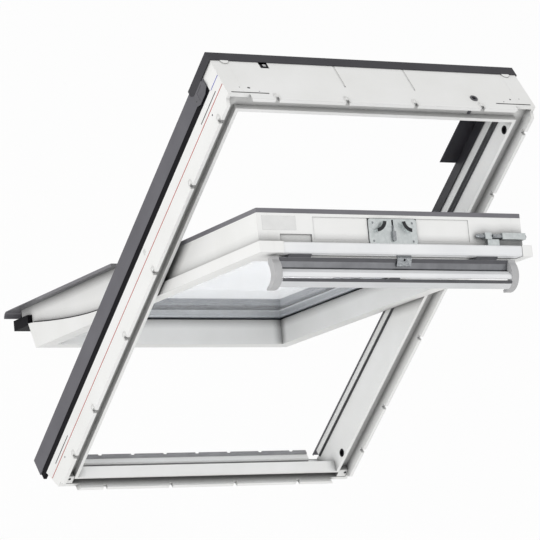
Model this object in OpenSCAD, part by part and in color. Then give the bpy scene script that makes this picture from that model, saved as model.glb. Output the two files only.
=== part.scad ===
// Centre-pivot roof window: white moulded frame and sash, dark sheet cladding, insulated glass.
// X runs to the right seen from the room, Y outwards through the roof, Z up the slope.
// The origin is the middle of the sill on the plane of the lining lips.

/* [Frame] */
// Outer width of the frame
frame_w = 780; // [600:1:1000]
// Outer height of the frame along the slope
frame_h = 1178; // [1000:1:1400]
// Width of a side member across its face
side_t = 41; // [38:0.5:48]
// Height of the head member
head_t = 47; // [44:0.5:55]
// Height of the sill's inner lip
sill_t = 40; // [34:0.5:48]
// Depth of the side members
side_depth = 100; // [97:0.5:104]
// Rise of the head member above the side members
head_rise = 30; // [26:0.5:34]
// Set-back of the corner blocks behind the lining lips
lip_h = 13.5; // [8:0.5:18]
// Thickness of a lining lip
lip_t = 8; // [5:0.5:10]
// Width of the inner edge beside the lining groove
edge_w = 8; // [6:0.5:14]
// Depth of the lining groove behind the corner blocks
groove_d = 14.5; // [8:0.5:20]
// Pitch of the clip notches along the head and the sill
notch_pitch = 173; // [140:1:200]
// Width of a clip notch
notch_w = 10; // [6:0.5:16]
// Fall of the sill's underside
sill_fall = 28; // [20:0.5:34]

/* [Cladding] */
// Sheet thickness of the cladding
sheet_t = 1.6; // [1.2:0.1:2]
// Width of the side cladding's box over the frame
box_w = 22; // [18:0.5:24]
// Lap of the side cladding over the side members
clad_lap = 3; // [2:0.5:5]
// Rise of the side cladding above the head
clad_rise = 14.5; // [12:0.5:16]
// Length of the side cladding below the sill
clad_drop = 47; // [30:1:60]
// Height of the head casing over the sash
casing_h = 108; // [95:1:112]
// Height of the gap between the casing and the side cladding
casing_rise = 5; // [4:0.5:8]
// Height of the black gasket strip below the cladding
gasket_h = 17; // [12:0.5:20]
// Share of the cladding's free height that the upper side covers drop
cover_share = 0.54; // [0.3:0.01:0.6]
// Lap of the upper side covers over the opening near the head
cover_reach = 27; // [10:0.5:30]

/* [Sash] */
// Opening angle in the modelled pose
open_angle = 36; // [20:0.5:60]
// Level of the pivot above the side members
pivot_rise = 15; // [13:0.5:17]
// Gap between the frame's side and the sash's inner flange
flange_c = 5; // [4:0.5:7]
// Gap between the frame's side and the sash body
body_c = 15; // [14:0.5:19]
// Distance from the frame's side to the clear glass
stile_w = 40; // [37:0.5:49]
// Gap between the head and the sash's top flange
head_c = 13; // [12:0.5:18]
// Reach of the top flange past the sash's end face
flange_lap = 20; // [18:0.5:24]
// Height of the top rail from the end face to the clear glass
top_rail_h = 69; // [59:1:89]
// Height of the sash's inner flange above the frame's lower edge
sill_c = 20; // [19:0.5:29]
// Height of the bottom rail up to the clear glass
bottom_rail_h = 44; // [39:1:59]
// Level of the sash's inner face above the lining lips
sash_y = 41; // [41:0.5:43]
// Thickness of the inner flange
flange_h = 25; // [22:0.5:27]
// Level of the inner glass face below the pivot's level
glass_m = 11; // [8:0.5:14]
// Thickness of one glass pane
pane_t = 4; // [3:0.5:5]
// Gap between the panes
pane_gap = 16; // [12:0.5:18]
// Width of the glass held in the rebate
rebate_w = 15; // [12:0.5:18]
// Level of the sash body's outer edge above the pivot's level
body_m = 16; // [14:0.5:17]
// Height of the sash's cladding edge
cover_h = 10; // [8:0.5:11]
// Rise of the lower covers above the upper ones
cover_step = 9; // [8:0.5:11]
// Lap of the lower sash covers over the frame's sides
lower_lap = 15; // [11:0.5:16]
// Distance below the pivot at which the lower covers start
lower_start = 110; // [105:1:130]
// Reach of the bottom cover past the bottom rail
nose_reach = 123; // [101:1:141]

/* [Ironmongery] */
// Radius of the pivot pin
pivot_r = 6; // [4:0.5:8]
// Running clearance of pins in their bores
run_c = 0.06; // [0.02:0.01:0.1]
// Thickness of the hinge plates
plate_t = 3; // [2:0.5:4]
// Radius of the barrel bolt
bolt_r = 5; // [4:0.25:5.5]
// Travel of the barrel bolt
bolt_travel = 17; // [14:0.5:17.5]
// Opening angle at which the bolt meets the ventilation hole
vent_angle = 6.8; // [6:0.1:8]
// Opening angle at which the bolt meets the cleaning hole
clean_angle = 167; // [165:0.5:168]
// Distance of the ventilation flap's left end from the glass's edge
flap_left = 24; // [9:1:39]
// Reach of the ventilation flap's right end past the glass's edge
flap_right = 9; // [0:1:13]
// Distance of the control bar's ends from the glass's edges
bar_inset = 1; // [0:1:18]
// Width of a bar end cap
cap_w = 18; // [10:0.5:24]
// Radius of the control bar's hinge pins
bar_pin_r = 3; // [2:0.25:3.5]
// Radius of the cable hole
cable_r = 5; // [3:0.25:5.5]
// Length of a bracket slot
slot_len = 92; // [70:1:95]
// Width of a bracket slot
slot_w = 3; // [2:0.25:4]
// Radius of the pilot holes for the fixing brackets
pilot_r = 2.25; // [1.5:0.25:3]
// Radius of the small screw heads
screw_r = 4; // [3:0.25:4.5]

/* [Hidden] */
$fn = 48;
half_w = frame_w / 2;
inner_x = half_w - side_t;
head_z = frame_h - head_t;
pivot_z = frame_h / 2;
eps = 0.01;
head_depth = side_depth + head_rise;
clad_y0 = side_depth - clad_lap;
pivot_y = side_depth + pivot_rise;
inner_m = pivot_y - sash_y;
groove_y = lip_h + groove_d;
groove_in = side_t - edge_w;
head_groove_in = head_t - edge_w;
clad_y1 = head_depth + clad_rise;
cover_drop = cover_share * (clad_y1 - side_depth);
flange_x = inner_x - flange_c;
body_x = inner_x - body_c;
glass_x = inner_x - stile_w;
lower_x = inner_x + lower_lap;
flange_top = head_z - pivot_z - head_c;
body_top = flange_top - flange_lap;
glass_top = body_top - top_rail_h;
flange_bottom = pivot_z - sill_c;
glass_bottom = flange_bottom - bottom_rail_h;
nose_s = flange_bottom + nose_reach;
flap_x0 = -glass_x + flap_left;
flap_x1 = glass_x + flap_right;
bar_x = glass_x - bar_inset;
side_notches = [110, 256, 0.41 * frame_h, 0.577 * frame_h, frame_h - 248, frame_h - 66];
sill_groove_w = 16;
strip_d = 3;
tongue_w = box_w - sheet_t;
sill_lip_y = sash_y - 1;
sill_step = 26;
upstand_x = glass_x - 5;
seal_y = side_depth - 12;
upstand_y = seal_y - 16;
upstand_z = sill_t - 28;
flange_m = -inner_m + flange_h;
seat_m = -glass_m - 2;
outer_pane_m = -glass_m + pane_t + pane_gap;
glass_out_m = outer_pane_m + pane_t;
seal_m = glass_out_m + 1;
pane_x = glass_x + rebate_w;
pane_top = glass_top + rebate_w;
pane_bottom = glass_bottom + rebate_w;
rebate_c = 1;
cover_lap = 24;
joint_c = 0.2;
upper_m = body_m + cover_h;
lower_m = upper_m + cover_step;
lower_edge = 7;
slant_drop = 34;
slant_s = flange_bottom + slant_drop;
slant_m = -9;
wedge_start = 227;
wedge_len = slant_s - wedge_start + 27;
wedge_h = 47;
body_bottom = slant_s - 5;
rib_s = nose_s - 38;
rib_m = body_m - 4;
flap_s0 = body_top - 9;
flap_c = 0.5;
recess_d = 1;
lock_x = 61;
plate_s = body_top - recess_d;
lock_t = 2.5;
lock_m0 = flange_m + 1;
lock_m1 = body_m - 8;
lock_k = (lock_m1 - lock_m0) / 56;
latch_m = lock_m0 + 10 * lock_k;
bolt_m = flange_m + 21;
bolt_s = body_top + 8;
bolt_x0 = body_x - 122;
bolt_x1 = body_x + 3;
window_x = body_x - 89;
housing_x = window_x + bolt_travel + 11;
base_x = body_x - 106;
base_t = 1.5;
bush_d = side_t - groove_in - 0.5;
bush_floor = 0.5;
bush_wall = 3;
bar_hinge_s = body_top - 13;
bar_hinge_m = -inner_m - 6.5;
bar_eye_r = 5.8;
bar_m0 = bar_hinge_m + 1.5;
bar_s0 = bar_hinge_s + 8;
bar_knee_m = bar_m0 - 22;
bar_fold_m = bar_m0 - 35;
grip_m = bar_m0 - 40;
bar_wall = 5;
grip_s0 = bar_s0 + 10;
grip_wall = 4;
strip_m = grip_m - 18;
flap_m0 = -inner_m + 1;
hinge_xs = [-bar_x + 70, bar_x - 74];
lug_t = 4;
hinge_half = 27;
upper_rebate_z = pivot_z + 100;
cover_z0 = upper_rebate_z + 2;
reach_z0 = head_z - 230;
rebate_y = side_depth - 24;
seal_gap = 75;
rebate_x = half_w - 25;
plate_r = 52;
clad_lip = 4;
cable_x = inner_x - 113;
drain_xs = [-86, 91];
drain_r = 2;
drain_y = 55;
clip_x = -half_w + 116;
clip_w = 20;
clip_y = head_depth - 13;
clip_h = 7;
head_step_y = head_depth - 68;
head_step = 6;
keeper_y = head_depth - 50;
keeper_w = 42;
keeper_x = 45;
keeper_t = 2.5;
lug_x = 30;
label_x0 = -glass_x + 28;
label_w = 78;
panel_x0 = -glass_x + 111;
panel_x1 = glass_x - 113;
cable_y = groove_y + cable_r + 1;
top_slot_y = lip_h + 5;
bracket_zs = [28 + slot_len / 2, frame_h - 32 - slot_len / 2];
head_pilot_x = inner_x - 16;
pilot_y = groove_y + 8;
pilot_d = 12;
side_slot_y = lip_h + 45;

white = "#ececea";
grey_sheet = "#5a595f";
black_rubber = "#22212a";
steel = "#c5cccc";

// Extrusions of a section along X, Y and the placing of sash pieces
module along_x(x0, x1) { translate([x0, 0, 0]) rotate([90, 0, 90]) linear_extrude(x1 - x0) children(); }
module along_y(y0, y1) { translate([0, y1, 0]) rotate([90, 0, 0]) linear_extrude(y1 - y0) children(); }
module on_sash() { translate([0, pivot_y, pivot_z]) rotate([open_angle, 0, 0]) children(); }
module box(x0, x1, y0, y1, z0, z1) { translate([x0, y0, z0]) cube([x1 - x0, y1 - y0, z1 - z0]); }
module rect(x0, x1, y0, y1) { translate([x0, y0]) square([x1 - x0, y1 - y0]); }
module rod_x(x0, x1, y, z, r) { translate([x0, y, z]) rotate([0, 90, 0]) cylinder(r = r, h = x1 - x0); }
module right_hand() { mirror([1, 0, 0]) children(); }

// Underside of the control bar's upper profile
function bar_under(m) = bar_s0 - (bar_m0 - m) * 6 / 22;
// A point of the sash, given along it and out of it, turned open by an angle
function turned_z(s, m, a) = pivot_z + s * cos(a) + m * sin(a);
function turned_y(s, m, a) = pivot_y - s * sin(a) + m * cos(a);

// Cuts in the top face: bracket slots, water grooves and the casing's clip slot
module head_face_cuts() {
  for (x = [-half_w + 10, half_w - 10 - slot_len])
    box(x, x + slot_len, top_slot_y, top_slot_y + slot_w, frame_h - 4, frame_h + 1);
  for (x = drain_xs) {
    box(x - drain_r, x + drain_r, drain_y, head_depth + 1, frame_h - drain_r, frame_h + 1);
    translate([x, drain_y, frame_h - 6]) cylinder(r = drain_r, h = 10);
  }
  box(clip_x, clip_x + clip_w, clip_y, clip_y + clip_h, frame_h - 9, frame_h + 1);
}

// Clip notches of a side member's lip, as cutting boxes along Z
module notch_row() {
  for (z = side_notches)
    translate([-lip_t / 2, -1, z - notch_w / 2]) cube([2 * lip_t, lip_h - 3, notch_w]);
}

// Side member with its lining lip and groove, gasket rebate, slant foot and bracket slots
module side_member(with_bushes) {
  lip_end = 14;
  difference() {
    translate([-half_w, 0, 0]) union() {
      translate([0, 0, -sill_fall]) linear_extrude(head_z + sill_fall)
        polygon([[0, lip_h], [side_t, lip_h], [side_t, side_depth], [tongue_w, side_depth],
                 [tongue_w, clad_y1 - sheet_t], [0, clad_y1 - sheet_t], [0, side_depth],
                 [strip_d, side_depth], [strip_d, clad_y0 - gasket_h], [0, clad_y0 - gasket_h]]);
      box(0, side_t, lip_h, head_depth, head_z, frame_h);
      along_x(0, lip_t) polygon([[0, lip_end + 8], [0, frame_h - lip_end - 8],
        [lip_h + 1, frame_h - lip_end], [lip_h + 1, lip_end]]);
    }
    // lining groove, which turns into those of the sill and the head
    box(-half_w + lip_t, -half_w + groove_in, lip_h - 1, groove_y, lip_t, frame_h - lip_t);
    box(-half_w + lip_t, -inner_x + 1, lip_h - 1, groove_y, lip_t, lip_t + sill_groove_w);
    box(-half_w + lip_t, -inner_x + 1, lip_h - 1, groove_y, frame_h - head_groove_in, frame_h - lip_t);
    translate([-half_w, 0, 0]) notch_row();
    // slant foot that follows the sill's fall
    along_x(-half_w - 1, half_w) polygon([[lip_h - 20, 0], [lip_h, 0], [clad_y0, -sill_fall],
      [side_depth + 5, -sill_fall], [side_depth + 5, -sill_fall - 20], [lip_h - 20, -sill_fall - 20]]);
    // rebate beside the sash in the upper half
    box(-rebate_x, -half_w + side_t + 1, rebate_y, side_depth + 1, upper_rebate_z, head_z);
    for (z = bracket_zs)
      box(-half_w - 1, -half_w + strip_d, side_slot_y, side_slot_y + slot_w,
        z - slot_len / 2, z + slot_len / 2);
    for (z = bracket_zs) rod_x(-half_w - 1, -half_w + pilot_d, pilot_y, z, pilot_r);
    head_face_cuts();
    if (with_bushes) right_hand() bush_bores();
  }
}
module bush_bores() {
  for (a = [vent_angle, clean_angle])
    rod_x(inner_x - 1, inner_x + bush_d, turned_y(bolt_s, bolt_m, a), turned_z(bolt_s, bolt_m, a),
      bolt_r + bush_wall);
}

module frame_left() { color(white) side_member(false); }
module frame_right() { color(white) right_hand() side_member(true); }

// Head member with its lining lip and groove, cable hole and face cuts
module frame_head() {
  color(white) difference() {
    union() {
      along_x(-inner_x, inner_x) polygon([[lip_h, frame_h], [lip_h, head_z],
        [head_step_y, head_z], [head_step_y + 4, head_z + head_step], [head_depth, head_z + head_step],
        [head_depth, frame_h]]);
      along_y(0, lip_h + 1) polygon([[-inner_x + 12, frame_h], [-inner_x + 16, frame_h - lip_t],
        [inner_x - 16, frame_h - lip_t], [inner_x - 12, frame_h]]);
    }
    box(-inner_x - 1, inner_x + 1, lip_h - 1, groove_y, frame_h - head_groove_in, frame_h - lip_t);
    for (x = [-inner_x + 75 : notch_pitch : inner_x - 40])
      box(x - notch_w / 2, x + notch_w / 2, -1, lip_h - 4, frame_h - lip_t - 9, frame_h + 1);
    head_face_cuts();
    translate([cable_x, cable_y, head_z - 1]) cylinder(r = cable_r + 2.5, h = head_t + 2);
    for (x = [-head_pilot_x, head_pilot_x])
      translate([x, pilot_y, frame_h - pilot_d]) cylinder(r = pilot_r, h = pilot_d + 1);
  }
}

// Sill with its lining lip, falling floor and inner stop for the sash
module frame_sill() {
  floor_in = sill_t - sill_step;
  slope = slant_drop / (slant_m + inner_m);
  color(white) difference() {
    union() {
      along_x(-inner_x, inner_x) polygon([[lip_h, 0], [lip_h, sill_t - 12], [sill_lip_y - 3, sill_t],
        [sill_lip_y, sill_t - 3], [sill_lip_y, floor_in],
        [clad_y0, floor_in - (clad_y0 - sill_lip_y) * slope], [clad_y0, -sill_fall]]);
      along_x(-upstand_x, upstand_x) polygon([[upstand_y, -sill_fall / 2], [upstand_y, upstand_z - 3],
        [upstand_y + 3, upstand_z], [seal_y, upstand_z], [seal_y, -sill_fall / 2]]);
      along_y(0, lip_h + 1) polygon([[-inner_x + 4, 0], [-inner_x + 12, lip_t],
        [inner_x - 12, lip_t], [inner_x - 4, 0]]);
    }
    box(-inner_x - 1, inner_x + 1, lip_h - 1, groove_y, lip_t, lip_t + sill_groove_w);
    for (x = [-inner_x + 75 : notch_pitch : inner_x - 40])
      box(x - notch_w / 2, x + notch_w / 2, -1, lip_h - 4, -1, lip_t + 9);
  }
}

// Folded box cladding along a side member
module left_side_cladding() {
  u = sheet_t;
  color(grey_sheet) translate([-half_w, 0, -clad_drop]) linear_extrude(clad_drop + head_z)
    polygon([[-u, clad_y0], [strip_d, clad_y0], [strip_d, clad_y0 + u], [0, clad_y0 + u],
             [0, clad_y1 - u], [tongue_w, clad_y1 - u], [tongue_w, clad_y1 - clad_lip],
             [box_w, clad_y1 - clad_lip], [box_w, clad_y1], [-u, clad_y1]]);
}
module right_side_cladding() { right_hand() left_side_cladding(); }

// Casing over the head with end walls that lap the side cladding
module head_casing() {
  u = sheet_t;
  top_y = clad_y1 + casing_rise;
  end_x = half_w + u;
  low_z = frame_h - casing_h;
  color(grey_sheet) union() {
    along_x(-end_x - u, end_x + u) polygon([[head_depth - 5.5, frame_h], [top_y - u, frame_h],
      [top_y - u, low_z + u], [clad_y1 + 2, low_z + u], [clad_y1 + 2, low_z], [top_y, low_z],
      [top_y, frame_h + u], [head_depth - 5.5, frame_h + u]]);
    for (x = [-end_x - u, end_x]) along_x(x, x + u) difference() {
      rect(head_depth - 8, top_y, low_z, frame_h + u);
      translate([head_depth - 8, low_z]) rotate(45) square(16, center = true);
    }
  }
}

// Angle cover over the inner edge of the cladding beside the upper half of the sash
module left_upper_cover() {
  x0 = -half_w + box_w;
  color("#2f2e33") union() {
    translate([0, 0, cover_z0]) linear_extrude(head_z - cover_z0)
      polygon([[-half_w, clad_y1], [x0, clad_y1], [x0, clad_y1 - cover_drop],
               [x0 + sheet_t, clad_y1 - cover_drop], [x0 + sheet_t, clad_y1 + sheet_t],
               [-half_w, clad_y1 + sheet_t]]);
    box(x0, -inner_x + cover_reach, clad_y1, clad_y1 + sheet_t, reach_z0, head_z);
  }
}
module right_upper_cover() { right_hand() left_upper_cover(); }

// Rubber upstand on the sill that the sash's bottom rail closes over
module sill_seal() {
  color(black_rubber) difference() {
    along_x(-upstand_x, upstand_x) polygon([[seal_y, upstand_z - 12], [seal_y, upstand_z],
      [seal_y + 3, upstand_z + 3], [side_depth, upstand_z + 3], [side_depth, upstand_z - 9],
      [seal_y + 3, upstand_z - 12]]);
    for (x = [-upstand_x + notch_pitch / 4 : notch_pitch / 2 : upstand_x - notch_w])
      box(x, x + notch_w, side_depth - 4, side_depth + 1, upstand_z - 2, upstand_z + 4);
  }
}

// Apron sheet folded over the sill's outer edge
module sill_cladding() {
  floor_out = sill_t - sill_step - (clad_y0 - sill_lip_y) * slant_drop / (slant_m + inner_m);
  color(grey_sheet) along_x(-inner_x, inner_x)
    rect(clad_y0, clad_y0 + sheet_t, -clad_drop, floor_out);
}

// Rubber strip in the rebate between a side member and its cladding
module left_outer_gasket() {
  color(black_rubber) translate([-half_w, 0, -sill_fall]) linear_extrude(head_z + sill_fall)
    polygon([[strip_d, clad_y0 - gasket_h], [strip_d, clad_y0], [-1, clad_y0], [0.5, clad_y0 - gasket_h + 4],
             [0.5, clad_y0 - gasket_h]]);
}
module right_outer_gasket() { right_hand() left_outer_gasket(); }

// Double-lip weather seal beside the upper half of the sash
module left_inner_seal() {
  y0 = rebate_y - 20;
  y1 = side_depth - 9;
  color(black_rubber) translate([-inner_x, 0, 0]) union() {
    translate([0, 0, pivot_z + seal_gap]) linear_extrude(head_z - pivot_z - seal_gap)
      polygon([[0, y0], [3, y0 + 1], [3, y0 + 4], [1, y0 + 7], [1, y0 + 10], [3, y0 + 13],
               [3, y0 + 16], [0, y0 + 17]]);
    linear_extrude(pivot_z - seal_gap)
      polygon([[0, y1], [3, y1 + 2], [3, y1 + 6], [0, y1 + 8]]);
  }
}
module right_inner_seal() { right_hand() left_inner_seal(); }

// Frame half of a pivot hinge: plate with its fixed pin
module left_hinge_plate() {
  color(steel) difference() {
    union() {
      rod_x(-inner_x, -inner_x + plate_t, pivot_y, pivot_z, 16);
      box(-inner_x, -inner_x + plate_t, pivot_y - 45, pivot_y, pivot_z - 16, pivot_z + 16);
      box(-inner_x, -inner_x + plate_t, pivot_y - 45, side_depth - 4, pivot_z - plate_r, pivot_z + plate_r);
      rod_x(-inner_x, -body_x + 14, pivot_y, pivot_z, pivot_r);
    }
    for (z = [-1, 1]) rod_x(-inner_x - 1, -inner_x + plate_t + 1, side_depth - 18,
      pivot_z + z * (plate_r - 12), 2.2);
  }
}
module right_hinge_plate() { right_hand() left_hinge_plate(); }
module hinge_plate_screws() {
  color(steel) for (x = [-1, 1], z = [-1, 1]) {
    translate([x * inner_x, side_depth - 18, pivot_z + z * (plate_r - 12)]) rotate([0, -90 * x, 0]) {
      cylinder(r = 2.2, h = plate_t);
      translate([0, 0, plate_t]) cylinder(r1 = screw_r, r2 = screw_r - 1, h = 0.7);
    }
  }
}

// Bushes that take the barrel bolt in the ventilation and cleaning positions
module bolt_bushes() {
  color(black_rubber) for (a = [vent_angle, clean_angle]) {
    y = turned_y(bolt_s, bolt_m, a);
    z = turned_z(bolt_s, bolt_m, a);
    difference() {
      union() {
        rod_x(inner_x, inner_x + bush_d, y, z, bolt_r + bush_wall);
        rod_x(inner_x - 0.8, inner_x, y, z, bolt_r + bush_wall + 1.5);
      }
      rod_x(inner_x - 1, inner_x + bush_d - bush_floor, y, z, bolt_r + 0.6);
    }
  }
}

// Bush in the cable hole, with a rim on the top face
module cable_grommet() {
  color("#4a4a4e") translate([cable_x, cable_y, 0]) difference() {
    union() {
      translate([0, 0, head_z]) cylinder(r = cable_r + 2.5, h = head_t);
      translate([0, 0, frame_h]) cylinder(r = cable_r + 4, h = 1.2);
    }
    translate([0, 0, head_z - 1]) cylinder(r = cable_r, h = head_t + 4);
  }
}

// Clip plates that tie the casing's end walls to the side cladding
module corner_tabs() {
  z0 = frame_h - casing_h;
  z1 = head_z;
  y0 = clad_y0 - 10;
  y1 = head_depth - 8.3;
  x0 = half_w + sheet_t;
  tab_t = 1.5;
  w = y1 - y0;
  color("#77767c") for (side = [0, 1]) mirror([side, 0, 0]) difference() {
    along_x(-x0 - tab_t, -x0) polygon([[y0, z0 + 16], [y0, z1 - 16], [y0 + 0.23 * w, z1], [y1 - 0.35 * w, z1],
      [y1, z1 - 8], [y1, z0], [y0 + 0.23 * w, z0 + 3]]);
    box(-x0 - 2, -x0 - tab_t + 0.6, y0 + 0.17 * w, y1 - 0.17 * w, z0 + 22, z1 - 12);
    rod_x(-x0 - 2, -x0 - tab_t + 0.8, y0 + w / 2, z0 + 10, 2);
  }
}

// Keeper on the head that faces the lock
module lock_keeper() {
  z1 = head_z + head_step;
  mid_y = keeper_y + keeper_w / 2;
  color(steel) difference() {
    union() {
      box(-keeper_x, keeper_x, keeper_y, keeper_y + keeper_w, z1 - keeper_t, z1);
      for (x = [-lug_x, lug_x]) box(x - 2, x + 2, mid_y - 13, mid_y + 15, z1 - 20, z1);
      rod_x(-lug_x - 2, lug_x + 2, mid_y + 1, z1 - 16, 3);
    }
    for (x = [-keeper_x + 6, keeper_x - 6]) translate([x, mid_y, z1 - 4]) cylinder(r = 2.2, h = 6);
  }
}

// Curve of the flange's upper edge, which widens towards the foot of the sash
function wedge_m(s) = min(slant_m, flange_m + wedge_h * pow((s - wedge_start) / wedge_len, 1.5));
wedge_s = [for (i = [0 : 12]) wedge_start + i * (slant_s - wedge_start) / 12];

// Keeps what lies above the sash's slanted foot
module foot_mask() {
  along_x(-half_w, half_w) polygon([[-inner_m - 1, -flange_bottom], [slant_m, -slant_s],
    [slant_m, -rib_s - 1], [slant_m + 60, -rib_s - 1], [slant_m + 60, flange_top],
    [-inner_m - 1, flange_top]]);
}

// Pocket in the top flange that holds the ventilation flap
module flap_pocket() {
  box(flap_x0 - flap_c, flap_x1 + flap_c, -inner_m - 1, flange_m, flap_s0, flange_top + 1);
}

// Stile with inner flange, glass rebate and pivot bore
module left_stile_body() {
  difference() {
    intersection() {
      union() {
        translate([0, 0, -body_bottom]) linear_extrude(body_bottom + body_top)
          rect(-body_x, -glass_x, flange_m - 1, body_m);
        translate([0, 0, -slant_s]) linear_extrude(slant_s + flange_top)
          rect(-flange_x, -glass_x, -inner_m, flange_m);
        box(-body_x, -pane_x - rebate_c, rib_m, lower_m - sheet_t, -rib_s, -lower_start - joint_c);
        along_x(-flange_x, -glass_x) polygon(concat([for (s = wedge_s) [wedge_m(s), -s]],
          [[flange_m - 1, -slant_s], [flange_m - 1, -wedge_start]]));
      }
      foot_mask();
    }
    translate([0, 0, -pane_bottom - rebate_c]) linear_extrude(pane_bottom + pane_top + 2 * rebate_c)
      rect(-pane_x - rebate_c, -glass_x + 1, seat_m, body_m + 1);
    flap_pocket();
    rod_x(-body_x - 1, -body_x + 15, 0, 0, pivot_r + run_c);
  }
}
module sash_left_stile() { color(white) on_sash() left_stile_body(); }
module sash_right_stile() {
  color(white) on_sash() difference() {
    right_hand() left_stile_body();
    flap_pocket();
  }
}

// Top rail with the end face's sunk panel, cove and flap pocket
module sash_top_rail() {
  color(white) on_sash() difference() {
    along_x(-glass_x, glass_x) polygon([[-inner_m, glass_top], [-inner_m, flange_top],
      [flange_m, flange_top], [flange_m, body_top], [body_m, body_top],
      [body_m, pane_top + rebate_c], [seat_m, pane_top + rebate_c], [seat_m, glass_top]]);
    flap_pocket();
    box(panel_x0, panel_x1, flange_m + 9, lock_m1 + 1, plate_s, body_top + 1);
    box(-lock_x - 1, lock_x + 1, flange_m, lock_m1 + 1, plate_s, body_top + 1);
    box(label_x0, label_x0 + label_w, flange_m, flange_m + 20, body_top - 3, body_top + 1);
  }
}

// Bottom rail with slant foot and glass rebate
module sash_bottom_rail() {
  color(white) on_sash() along_x(-glass_x, glass_x)
    polygon([[-inner_m, -glass_bottom], [-inner_m, -flange_bottom], [slant_m, -flange_bottom],
             [body_m, -flange_bottom], [body_m, -pane_bottom - rebate_c],
             [seat_m, -pane_bottom - rebate_c], [seat_m, -glass_bottom]]);
}

// Rectangular ring or sheet parallel to the glass, given by its level and its inset from the pane's edge
module glass_sheet(m0, m1, inset) {
  box(-pane_x + inset, pane_x - inset, m0, m1, -pane_bottom + inset, pane_top - inset);
}
module glass_ring(m0, m1, inset, width) {
  difference() {
    glass_sheet(m0, m1, inset);
    glass_sheet(m0 - 1, m1 + 1, inset + width);
  }
}
module inner_pane() { color([0.88, 0.91, 0.95, 0.4]) on_sash() glass_sheet(-glass_m, -glass_m + pane_t, 0); }
module outer_pane() { color([0.88, 0.91, 0.95, 0.4]) on_sash() glass_sheet(outer_pane_m, glass_out_m, 0); }
module pane_spacer() { color("#b9bcc0") on_sash() glass_ring(-glass_m + pane_t, outer_pane_m, 4, 10); }
module inner_glazing_gasket() { color(black_rubber) on_sash() glass_ring(seat_m, -glass_m, 2, rebate_w - 1); }
module outer_glazing_gasket() { color(black_rubber) on_sash() glass_ring(glass_out_m, seal_m, 4, 22); }

// Channel section of an upper sash cover from its outer wall to the glass
module cover_section() {
  u = sheet_t;
  polygon([[-body_x, body_m], [-body_x, upper_m], [-glass_edge, upper_m], [-glass_edge, seal_m],
           [-glass_edge - u, seal_m], [-glass_edge - u, upper_m - u], [-body_x + u, upper_m - u],
           [-body_x + u, body_m]]);
}
glass_edge = pane_x - cover_lap;
cover_end = pane_top - cover_lap;
lower_end = glass_bottom - cover_lap;
module sash_upper_left_cover() {
  color(grey_sheet) on_sash() translate([0, 0, -lower_start + joint_c])
    linear_extrude(lower_start + cover_end - 2 * joint_c) cover_section();
}
module sash_upper_right_cover() { right_hand() sash_upper_left_cover(); }
module sash_top_cover() {
  u = sheet_t;
  color(grey_sheet) on_sash() union() {
    difference() {
      box(-body_x, body_x, body_m, upper_m, cover_end, body_top);
      box(-body_x + u, body_x - u, body_m - 1, upper_m - u, cover_end + u, body_top - u);
    }
    box(-glass_edge, glass_edge, seal_m, upper_m - u, cover_end, cover_end + u);
  }
}
module sash_lower_left_cover() {
  u = sheet_t;
  color(grey_sheet) on_sash() translate([0, 0, -lower_end]) linear_extrude(lower_end - lower_start)
    polygon([[-lower_x, lower_m - lower_edge], [-lower_x, lower_m], [-glass_edge, lower_m],
             [-glass_edge, seal_m], [-glass_edge - u, seal_m], [-glass_edge - u, lower_m - u],
             [-lower_x + u, lower_m - u], [-lower_x + u, lower_m - lower_edge]]);
}
module sash_lower_right_cover() { right_hand() sash_lower_left_cover(); }

// Bottom cover with a rounded nose that sheds water past the sill
module sash_bottom_cover() {
  s0 = -lower_end - joint_c;
  nose_r = 16;
  u = sheet_t;
  color(grey_sheet) on_sash() along_x(-lower_x, lower_x) difference() {
    union() {
      rect(lower_m - nose_r, lower_m, -nose_s + nose_r, s0);
      translate([lower_m - nose_r, -nose_s + nose_r]) circle(r = nose_r);
    }
    rect(lower_m - nose_r - 20, lower_m - u, -nose_s + nose_r, s0 + 1);
    intersection() {
      translate([lower_m - nose_r, -nose_s + nose_r]) circle(r = nose_r - u);
      rect(lower_m - nose_r - 1, lower_m, -nose_s, -nose_s + nose_r + eps);
    }
    rect(lower_m - 3 * nose_r, lower_m - nose_r, -nose_s - 1, s0 + 1);
  }
}

// Black rubber and plastic profile under the bottom cover
module drip_profile() {
  inset = pane_x + rebate_c;
  color(black_rubber) on_sash() union() {
    along_x(-inset, inset) polygon([[slant_m + eps, -body_bottom], [body_m, -body_bottom],
      [body_m, -glass_bottom - 20], [lower_m - sheet_t, -glass_bottom - 20],
      [lower_m - sheet_t, -nose_s + 18], [body_m, -nose_s + 10], [slant_m, -nose_s + 10]]);
    along_x(-flange_x, flange_x) polygon([[slant_m - 4, -slant_s - 1], [slant_m + eps, -slant_s - eps],
      [rib_m, -slant_s - eps], [rib_m, -nose_s + 10], [slant_m - 4, -nose_s + 10]]);
  }
}

// Rubber seal along the flange's curved upper edge
module left_sash_seal() {
  seal_t = 2.5;
  tail = [for (s = wedge_s) if (s < body_bottom) s];
  color(black_rubber) on_sash() along_x(-flange_x + 1, -body_x) polygon(concat(
    [for (s = tail) [wedge_m(s), -s]],
    [for (i = [len(tail) - 1 : -1 : 0]) [wedge_m(tail[i]) + seal_t, -tail[i]]]));
}
module right_sash_seal() { right_hand() left_sash_seal(); }

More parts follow.
